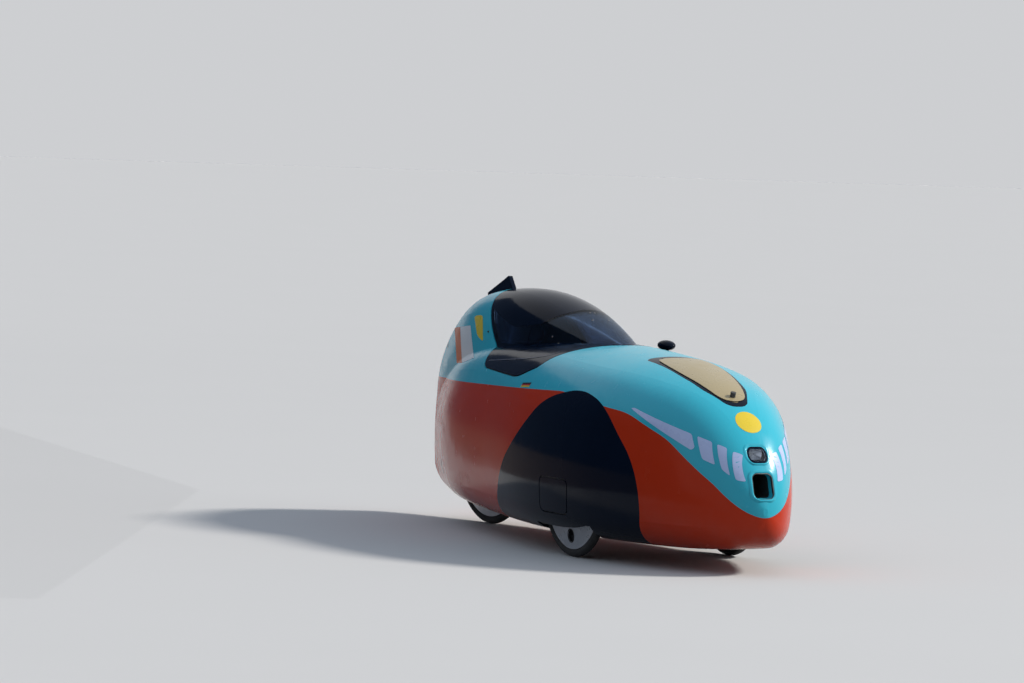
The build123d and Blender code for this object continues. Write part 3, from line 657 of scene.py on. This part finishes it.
def lamp_insides():
    """Bowl and bulb behind the lens."""
    low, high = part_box("lamp_lens")
    half, tall = high[1] - LENS_INSET, (high[2] - low[2]) / 2 - LENS_INSET
    middle = (high[2] + low[2]) / 2
    bowl = []
    for k in range(BOWL_RINGS):
        share = sin(radians(90) * (k + 1) / BOWL_RINGS)
        power = 2 + BOWL_BLUNT * k / (BOWL_RINGS - 1)
        x = low[0] - BOWL_BACK - BOWL_DEPTH * (1 - share ** 2)
        bowl.append([(x, half * share * u, middle + tall * share * v)
                     for u, v in (blunt(tau * i / BOWL_COUNT, power) for i in range(BOWL_COUNT))])
    strip_mesh("lamp_reflector", bowl, "frame", "reflector_chrome")
    bulb = []
    for k in range(BULB_RINGS):
        share = k / (BULB_RINGS - 1)
        reach = BULB_RADIUS * max(1 - share ** 3, BULB_TIP) ** 0.5
        x = low[0] - BULB_BACK + BULB_LENGTH * share
        bulb.append([(x, reach * u, middle + reach * v)
                     for u, v in (blunt(tau * i / BULB_COUNT, 2) for i in range(BULB_COUNT))])
    strip_mesh("lamp_bulb", bulb, "frame", "white_film")


lamp_insides()

# Screws, flange line and base strip of the hood, on both sides, by their place in the photograph.
# The flange line's lighter navy is a painted highlight along the flange
SCREW_PLACES = ((552.4, 336.7), (558.5, 343.3), (592.4, 320.3), (594.8, 313.0))
SCREW_RADIUS = 0.0032
SCREW_HEIGHT = 0.0014
SCREW_HEAD = [(SCREW_RADIUS, -0.0005), (SCREW_RADIUS, SCREW_HEIGHT * 0.4),
              (SCREW_RADIUS * 0.8, SCREW_HEIGHT * 0.8), (SCREW_RADIUS * 0.4, SCREW_HEIGHT),
              (SCREW_RADIUS * 0.02, SCREW_HEIGHT * 1.02)]
HOOD_LINES = {
    "hood_flange_highlight": ("navy_edge_highlight", 0.004,
                    [(489, 360.5), (506, 359.6), (526, 358.6), (546, 355.8), (560, 352)]),
    "visor_base": ("grey_film", 0.003,
                   [(590, 348.6), (604, 349.4), (618, 349.4), (630, 348.8)]),
}
RIBBON_LIFT = 0.0012
RIBBON_STEPS = 6


def hood_screw(number, px, py):
    """Low domed head on the hood and its mirror image."""
    hit, normal = cast(HOOD_TREE, *photo_ray(px, py))
    for label, flip in (("right", 1), ("left", -1)):
        centre = Vector((hit.x, hit.y * flip, hit.z))
        outward = Vector((normal.x, normal.y * flip, normal.z))
        strip_mesh(f"visor_screw_{number}_{label}", ring_rows(centre, outward, SCREW_HEAD),
                   "hood", "screw_steel")


def hood_ribbon(name, line, width, finish):
    """Thin strip of even width along a line on the hood, and its mirror image."""
    hits = [cast(HOOD_TREE, *photo_ray(px, py)) for px, py in line]
    hits = [(hit, normal) for hit, normal in hits if hit is not None]
    form = bmesh.new()
    for flip in (1, -1):
        rows = []
        for i, (hit, normal) in enumerate(hits):
            ahead = hits[min(i + 1, len(hits) - 1)][0] - hits[max(i - 1, 0)][0]
            across = normal.cross(ahead).normalized() * width / 2
            rows.append([form.verts.new(Vector((q.x, q.y * flip, q.z)))
                         for q in (hit + across + normal * RIBBON_LIFT,
                                   hit - across + normal * RIBBON_LIFT)])
        for first, second in zip(rows, rows[1:]):
            form.faces.new((first[0], first[1], second[1], second[0]))
    bmesh.ops.recalc_face_normals(form, faces=form.faces)
    make_piece(name, form, "hood", finish, smooth=False)


for screw_number, screw_place in enumerate(SCREW_PLACES):
    hood_screw(screw_number, *screw_place)
for line_name, (line_finish, line_width, line_points) in HOOD_LINES.items():
    hood_ribbon(line_name, smooth_line(line_points, RIBBON_STEPS), line_width, line_finish)

# Skin of the nose hatch: a thin sheet that overlaps the frame and lifts with the lid
NOSE_END = 1.2625
SKIN_ROWS = [(634, 70), (626, 80), (600, 87), (528, 91), (444, 86), (369, 75), (305, 62),
             (261, 48), (240, 30), (232, 8)]  # mm behind the nose's end, half width in mm
SKIN_ROW_STEPS = 6
SKIN_SIDE_STEPS = 24
SKIN_TURN = NOSE_END - 0.300  # ahead of this the gap runs round the lid's front end
SKIN_LIFT = 0.0012
SKIN_THICK = 0.0016
SKIN_SHARP = radians(50)
SKIN_MERGE = 1e-5
WALL_NORMAL = 0.3             # where the normal rises less than this, it is a wall of the gap
BANK_STEP = 0.001
BANK_REACH = 20


def height_below(point):
    """Height of the hatch below a point in plan, or None over the gap or on its walls."""
    hit, normal = cast(HATCH_TREE, Vector((point.x, point.y, OUTSIDE)), -UP)
    return hit.z if hit is not None and abs(normal.z) > WALL_NORMAL else None


def hatch_height(x, y):
    """Height of the hatch at a point in plan. Over the gap it is read between both banks."""
    here = Vector((x, y))
    height = height_below(here)
    if height is not None:
        return height
    outward = (here - Vector((min(x, SKIN_TURN), 0))).normalized()
    banks = []
    for way in (-1, 1):
        for k in range(1, BANK_REACH):
            found = height_below(here + outward * way * BANK_STEP * k)
            if found is not None:
                banks.append((k, found))
                break
    if len(banks) == 2:
        (a, low), (b, high) = banks
        return (low * b + high * a) / (a + b)
    return banks[0][1]


def hatch_skin():
    """Sheet over the lid, with a sharp edge all round."""
    form = bmesh.new()
    rows = []
    for station, half in smooth_line(SKIN_ROWS, SKIN_ROW_STEPS):
        x = NOSE_END - station / 1000
        ys = [half / 1000 * sin(radians(90) * k / SKIN_SIDE_STEPS)
              for k in range(-SKIN_SIDE_STEPS, SKIN_SIDE_STEPS + 1)]
        rows.append([form.verts.new((x, y, hatch_height(x, y))) for y in ys])
    for first, second in zip(rows, rows[1:]):
        for k in range(2 * SKIN_SIDE_STEPS):
            form.faces.new((first[k], first[k + 1], second[k + 1], second[k]))
    bmesh.ops.remove_doubles(form, verts=form.verts, dist=SKIN_MERGE)
    form.normal_update()
    form.faces.ensure_lookup_table()
    sign = 1 if form.faces[0].normal.z > 0 else -1
    for vertex, normal in [(vertex, vertex.normal.copy()) for vertex in form.verts]:
        vertex.co += normal * sign * SKIN_LIFT
    sheet = list(form.faces)
    for face in sheet:
        face.smooth = True
    bmesh.ops.solidify(form, geom=sheet, thickness=-sign * SKIN_THICK)
    bmesh.ops.recalc_face_normals(form, faces=form.faces)
    for edge in form.edges:
        if edge.is_manifold and edge.calc_face_angle() > SKIN_SHARP:
            edge.smooth = False
    make_piece("hatch_skin", form, "nose_hatch", "tan_panel", smooth=False)


hatch_skin()

# Grommet round each wheel's valve hole, and the valve inside it
WHEELS = {"front_rim_left": "wheel_left", "front_rim_right": "wheel_right",
          "rear_rim": "wheel_rear"}
HOLE_RADIUS = 0.020
FRONT_HOLE_DROP = 0.161   # from the axle down to the hole
REAR_HOLE_RISE = 0.044    # from the rim's lowest point up to the hole
GROMMET = ((1.01, -0.001), (1.02, 0.0012), (1.10, 0.0020), (1.18, 0.0012), (1.20, -0.0005))
GROMMET_SEAT = 1.2        # share of the hole's radius where the rim is read
GROMMET_COUNT = 32
RIM_STAND_OFF = 0.2
VALVE = [(0.0032, 0), (0.0032, 0.010), (0.0022, 0.011), (0.0022, 0.030), (0.0001, 0.031)]
VALVE_DROP = 0.006        # from the hole's lowest point down to the valve's foot
VALVE_COUNT = 14


def valve_fittings(node, body):
    """Grommet, given as (share of the hole's radius, height), and valve on a rim's outer side."""
    low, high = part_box(node)
    rim_tree = surface_tree(node)
    outer = -1 if node.endswith("right") else 1
    drop = (high[2] - low[2]) / 2 - REAR_HOLE_RISE if body == "wheel_rear" else FRONT_HOLE_DROP
    middle = (Vector(low) + Vector(high)) / 2 - UP * drop
    turns = [tau * i / GROMMET_COUNT for i in range(GROMMET_COUNT)]
    spokes = [Vector((cos(turn), 0, sin(turn))) * HOLE_RADIUS for turn in turns]
    seats = []
    for spoke in spokes:
        start = middle + spoke * GROMMET_SEAT + Vector((0, outer * RIM_STAND_OFF, 0))
        seats.append(cast(rim_tree, start, Vector((0, -outer, 0)))[0].y)
    rows = []
    for share, ahead in GROMMET:
        places = [middle + spoke * share for spoke in spokes]
        rows.append([(place.x, seat + outer * ahead, place.z)
                     for place, seat in zip(places, seats)])
    strip_mesh(f"{node}_grommet", rows, body, "grip_rubber")
    foot = middle - UP * (HOLE_RADIUS + VALVE_DROP)
    strip_mesh(f"{node}_valve", ring_rows(foot, UP, VALVE, VALVE_COUNT), body, "screw_steel")


for rim_node, wheel_body in WHEELS.items():
    valve_fittings(rim_node, wheel_body)

# Head rest: a rounded foam block in cloth with a piped seam
REST_CENTRE = Vector((-0.5705, 0, 0.700))
REST_HALF = (0.0155, 0.073, 0.0455)
REST_TURN = Matrix.Rotation(radians(-24), 3, "Y")
REST_POWER = 4
REST_CUTS = 24
PIPING_RADIUS = 0.0016
PIPING_COUNT = 72
PIPING_SIDES = 8


def rest_pad():
    """Cube pressed outwards to a smooth form with blunt corners."""
    form = bmesh.new()
    bmesh.ops.create_cube(form, size=2)
    bmesh.ops.subdivide_edges(form, edges=form.edges, cuts=REST_CUTS, use_grid_fill=True)
    for vertex in form.verts:
        size = sum(abs(value) ** REST_POWER for value in vertex.co)
        pressed = vertex.co * size ** (-1 / REST_POWER)
        scaled = Vector([max(-1, min(1, value)) * reach
                         for value, reach in zip(pressed, REST_HALF)])
        vertex.co = REST_CENTRE + REST_TURN @ scaled
    return make_piece("head_rest_pad", form, "frame", "foam")


def rest_piping():
    """Tube along the widest line of the pad."""
    line = []
    for i in range(PIPING_COUNT):
        u, v = blunt(tau * i / PIPING_COUNT, REST_POWER)
        line.append(REST_CENTRE + REST_TURN @ Vector((0, u * REST_HALF[1], v * REST_HALF[2])))
    rows = []
    for i, point in enumerate(line + line[:1]):
        ahead = line[(i + 1) % PIPING_COUNT] - line[(i - 1) % PIPING_COUNT]
        rows += ring_rows(point, ahead.normalized(), [(PIPING_RADIUS, 0)], PIPING_SIDES)
    strip_mesh("head_rest_piping", rows, "frame", "black_matte")


rest = rest_pad()
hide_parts("head_rest")
rest_piping()
